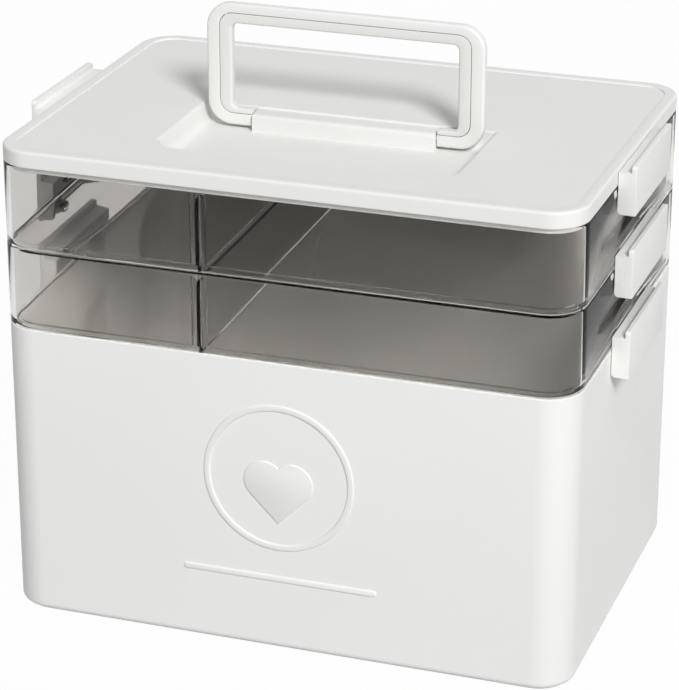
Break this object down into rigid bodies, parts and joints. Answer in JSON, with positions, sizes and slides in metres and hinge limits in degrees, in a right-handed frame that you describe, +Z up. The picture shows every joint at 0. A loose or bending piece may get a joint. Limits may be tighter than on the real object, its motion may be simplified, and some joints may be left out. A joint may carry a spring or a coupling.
{
  "type": "layered medicine box",
  "caption": "Portable storage box: opaque bin, clear nesting trays with dividers, latched lid and a folding carry handle in a recess.",
  "frame": {"origin": "middle of the base on the ground", "axes": "+X to the right along the long side, +Y to the back, +Z up; the front with the raised relief faces -Y"},
  "size_m": [0.2976, 0.1987, 0.2875],
  "materials": {
    "white_shell": "opaque white moulded plastic, satin",
    "white_lid": "opaque white moulded plastic, satin",
    "white_handle": "opaque white moulded plastic, satin",
    "white_handle_core": "opaque white moulded plastic, satin",
    "white_latch": "opaque white moulded plastic, satin",
    "clear_tray": "smoke-grey clear moulded plastic, polished",
    "clear_divider": "smoke-grey clear moulded plastic, polished"
  },
  "bodies": {
    "bin": {"bin": "white_shell"},
    "lower_tray": {"lower_tray": "clear_tray", "lower_divider": "clear_divider"},
    "upper_tray": {"upper_tray": "clear_tray", "upper_divider": "clear_divider"},
    "lid": {"lid": "white_lid"},
    "handle": {"handle_outer": "white_handle", "handle_inner": "white_handle_core"},
    "base_latch_left": {"base_latch_left": "white_latch"},
    "base_latch_right": {"base_latch_right": "white_latch"},
    "tray_latch_left": {"tray_latch_left": "white_latch"},
    "tray_latch_right": {"tray_latch_right": "white_latch"},
    "lid_latch_left": {"lid_latch_left": "white_latch"},
    "lid_latch_right": {"lid_latch_right": "white_latch"}
  },
  "joints": [
    {"name": "lower_tray_lift", "type": "slide", "parent": "bin", "child": "lower_tray", "axis": [0, 0, 1], "range_m": [0, 0.027]},
    {"name": "upper_tray_lift", "type": "slide", "parent": "lower_tray", "child": "upper_tray", "axis": [0, 0, 1], "range_m": [0, 0.027]},
    {"name": "lid_lift", "type": "slide", "parent": "upper_tray", "child": "lid", "axis": [0, 0, 1], "range_m": [0, 0.027]},
    {"name": "handle_fold", "type": "hinge", "parent": "lid", "child": "handle", "pos_m": [0, -0.004, 0.2317], "axis": [1, 0, 0], "range_deg": [0, 90]},
    {"name": "base_latch_left_turn", "type": "hinge", "parent": "bin", "child": "base_latch_left", "pos_m": [-0.1429, 0, 0.1366], "axis": [0, -1, 0], "range_deg": [0, 90]},
    {"name": "base_latch_right_turn", "type": "hinge", "parent": "bin", "child": "base_latch_right", "pos_m": [0.1429, 0, 0.1366], "axis": [0, 1, 0], "range_deg": [0, 90]},
    {"name": "tray_latch_left_turn", "type": "hinge", "parent": "lower_tray", "child": "tray_latch_left", "pos_m": [-0.1429, 0, 0.1766], "axis": [0, -1, 0], "range_deg": [0, 90]},
    {"name": "tray_latch_right_turn", "type": "hinge", "parent": "lower_tray", "child": "tray_latch_right", "pos_m": [0.1429, 0, 0.1766], "axis": [0, 1, 0], "range_deg": [0, 90]},
    {"name": "lid_latch_left_turn", "type": "hinge", "parent": "upper_tray", "child": "lid_latch_left", "pos_m": [-0.1429, 0, 0.2166], "axis": [0, -1, 0], "range_deg": [0, 90]},
    {"name": "lid_latch_right_turn", "type": "hinge", "parent": "upper_tray", "child": "lid_latch_right", "pos_m": [0.1429, 0, 0.2166], "axis": [0, 1, 0], "range_deg": [0, 90]}
  ],
  "couplings": [
    {"joint": "base_latch_left_turn", "follows": "lower_tray_lift", "rad_per_m": 58.17},
    {"joint": "base_latch_right_turn", "follows": "lower_tray_lift", "rad_per_m": 58.17},
    {"joint": "tray_latch_left_turn", "follows": "upper_tray_lift", "rad_per_m": 58.17},
    {"joint": "tray_latch_right_turn", "follows": "upper_tray_lift", "rad_per_m": 58.17},
    {"joint": "lid_latch_left_turn", "follows": "lid_lift", "rad_per_m": 58.17},
    {"joint": "lid_latch_right_turn", "follows": "lid_lift", "rad_per_m": 58.17}
  ]
}
